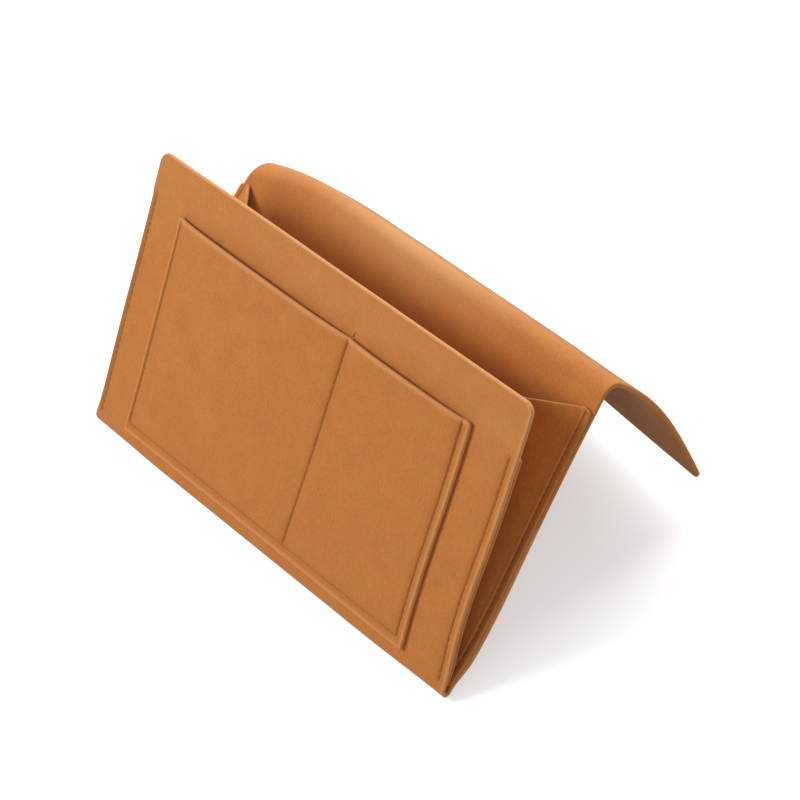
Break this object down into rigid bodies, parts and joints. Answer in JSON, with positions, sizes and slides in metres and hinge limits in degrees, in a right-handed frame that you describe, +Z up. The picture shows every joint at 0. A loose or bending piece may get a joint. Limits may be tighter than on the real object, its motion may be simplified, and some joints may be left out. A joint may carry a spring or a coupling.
{
  "type": "bedside caddy",
  "caption": "Felt bedside caddy: a folded strip makes the pocket's front and back and a flap to tuck under a mattress, with folded gussets and a sewn patch pocket.",
  "frame": {"origin": "on the ground under the middle of the standing caddy's box", "axes": "+X to the right along the front panel's width, +Y rearward from the front panel to the flap, +Z up"},
  "size_m": [0.33, 0.2376, 0.1582],
  "materials": {
    "felt": "pressed wool felt, matt",
    "thread": "spun sewing thread"
  },
  "bodies": {
    "back": {"back_panel": "felt", "bottom_fold": "felt", "ridge_bend": "felt", "gusset_left_rear_flange": "felt", "gusset_right_rear_flange": "felt", "thread_left_rear_outer": "thread", "thread_left_rear_inner": "thread", "thread_right_rear_outer": "thread", "thread_right_rear_inner": "thread"},
    "front": {"front_panel": "felt", "pocket_patch": "felt", "gusset_left_front_flange": "felt", "gusset_right_front_flange": "felt", "thread_patch_front": "thread", "thread_patch_back": "thread", "thread_divider_front": "thread", "thread_divider_back": "thread", "thread_left_front_outer": "thread", "thread_left_front_inner": "thread", "thread_right_front_outer": "thread", "thread_right_front_inner": "thread"},
    "flap": {"tuck_flap": "felt"},
    "left_rear_half": {"gusset_left_rear": "felt", "gusset_left_crease": "felt"},
    "left_front_half": {"gusset_left_front": "felt"},
    "right_rear_half": {"gusset_right_rear": "felt", "gusset_right_crease": "felt"},
    "right_front_half": {"gusset_right_front": "felt"}
  },
  "joints": [
    {"name": "flap_fold", "type": "hinge", "parent": "back", "child": "flap", "pos_m": [-0.0825, 0.0386, 0.11927], "axis": [0.9972, -0.0481, 0.0574], "range_deg": [-64, 96], "deforming": ["ridge_bend"]},
    {"name": "front_open", "type": "hinge", "parent": "back", "child": "front", "pos_m": [0, -0.11303, 0.0058], "axis": [1, 0, 0], "range_deg": [-9, 10], "deforming": ["bottom_fold"]},
    {"name": "gusset_left_swing", "type": "hinge", "parent": "back", "child": "left_rear_half", "pos_m": [-0.1585, -0.11303, 0.0058], "axis": [0, 0.7983, 0.6022], "range_deg": [-18, 16]},
    {"name": "gusset_left_fold", "type": "hinge", "parent": "left_rear_half", "child": "left_front_half", "pos_m": [-0.1585, -0.11303, 0.0058], "axis": [0.2931, 0.644, 0.7066], "range_deg": [-33, 36], "deforming": ["gusset_left_crease"]},
    {"name": "gusset_right_swing", "type": "hinge", "parent": "back", "child": "right_rear_half", "pos_m": [0.1585, -0.11303, 0.0058], "axis": [0, 0.7141, 0.7], "range_deg": [-15, 16]},
    {"name": "gusset_right_fold", "type": "hinge", "parent": "right_rear_half", "child": "right_front_half", "pos_m": [0.1585, -0.11303, 0.0058], "axis": [-0.3224, 0.5912, 0.7393], "range_deg": [-32, 29], "deforming": ["gusset_right_crease"]}
  ],
  "couplings": [
    {"joint": "gusset_left_swing", "follows": "front_open", "ratio": -1.7247},
    {"joint": "gusset_left_fold", "follows": "front_open", "ratio": 3.5271},
    {"joint": "gusset_right_swing", "follows": "front_open", "ratio": 1.5089},
    {"joint": "gusset_right_fold", "follows": "front_open", "ratio": -3.1536}
  ]
}
